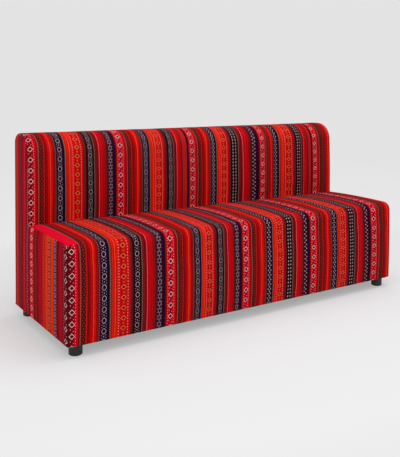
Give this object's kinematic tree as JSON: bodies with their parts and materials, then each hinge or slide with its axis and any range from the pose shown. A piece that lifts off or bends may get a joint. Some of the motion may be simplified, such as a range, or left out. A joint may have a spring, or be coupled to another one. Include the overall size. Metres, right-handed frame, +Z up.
{
  "type": "majlis sofa",
  "caption": "Armless upholstered bench sofa with an upright round-topped back, covered all over in red striped woven cloth, on short round feet.",
  "frame": {"origin": "on the floor, under the middle of the sofa's outline", "axes": "+X along the sofa to the sitter's left, which is the right of a person facing it; +Y from the seat's front to the back; +Z up"},
  "size_m": [1.8, 0.65, 0.84],
  "materials": {
    "striped_cloth": "matte",
    "dust_cloth": "matte",
    "foam": "matte",
    "wadding": "matte",
    "felt": "matte",
    "plywood": "matte",
    "softwood": "matte",
    "hardboard": "matte",
    "spring_steel": "satin",
    "zinc_steel": "satin",
    "black_plastic": "satin",
    "glide_plastic": "matte"
  },
  "bodies": {
    "root": {"seat_cover": "striped_cloth", "back_cover": "striped_cloth", "outside_back_cover": "striped_cloth", "side_cover_left": "striped_cloth", "side_cover_right": "striped_cloth", "dust_cover": "dust_cloth", "seat_foam": "foam", "back_foam": "foam", "crest_foam": "foam", "front_pad": "wadding", "base_side_pad_left": "wadding", "base_side_pad_right": "wadding", "back_side_pad_left": "wadding", "back_side_pad_right": "wadding", "rear_wadding": "wadding", "seat_felt": "felt", "end_former_left": "plywood", "end_former_right": "plywood", "inner_former_left": "plywood", "inner_former_right": "plywood", "back_panel": "plywood", "foot_plate_front_left": "plywood", "foot_plate_front_right": "plywood", "foot_plate_rear_left": "plywood", "foot_plate_rear_right": "plywood", "front_rail": "softwood", "rear_rail": "softwood", "spring_rail": "softwood", "back_top_rail": "softwood", "corner_block_front_left": "softwood", "corner_block_front_right": "softwood", "corner_block_rear_left": "softwood", "corner_block_rear_right": "softwood", "rear_board": "hardboard", "seat_spring_1": "spring_steel", "seat_spring_2": "spring_steel", "seat_spring_3": "spring_steel", "seat_spring_4": "spring_steel", "seat_spring_5": "spring_steel", "seat_spring_6": "spring_steel", "seat_spring_7": "spring_steel", "seat_spring_8": "spring_steel", "seat_spring_9": "spring_steel", "seat_spring_10": "spring_steel", "seat_spring_11": "spring_steel", "seat_spring_12": "spring_steel", "seat_spring_13": "spring_steel", "spring_tie_wires": "spring_steel", "spring_clips": "zinc_steel", "frame_screws": "zinc_steel", "foot_bolts": "zinc_steel", "tee_nuts": "zinc_steel", "dust_cover_staples": "zinc_steel", "foot_front_left": "black_plastic", "foot_front_right": "black_plastic", "foot_rear_left": "black_plastic", "foot_rear_right": "black_plastic", "foot_glides": "glide_plastic"}
  },
  "joints": []
}
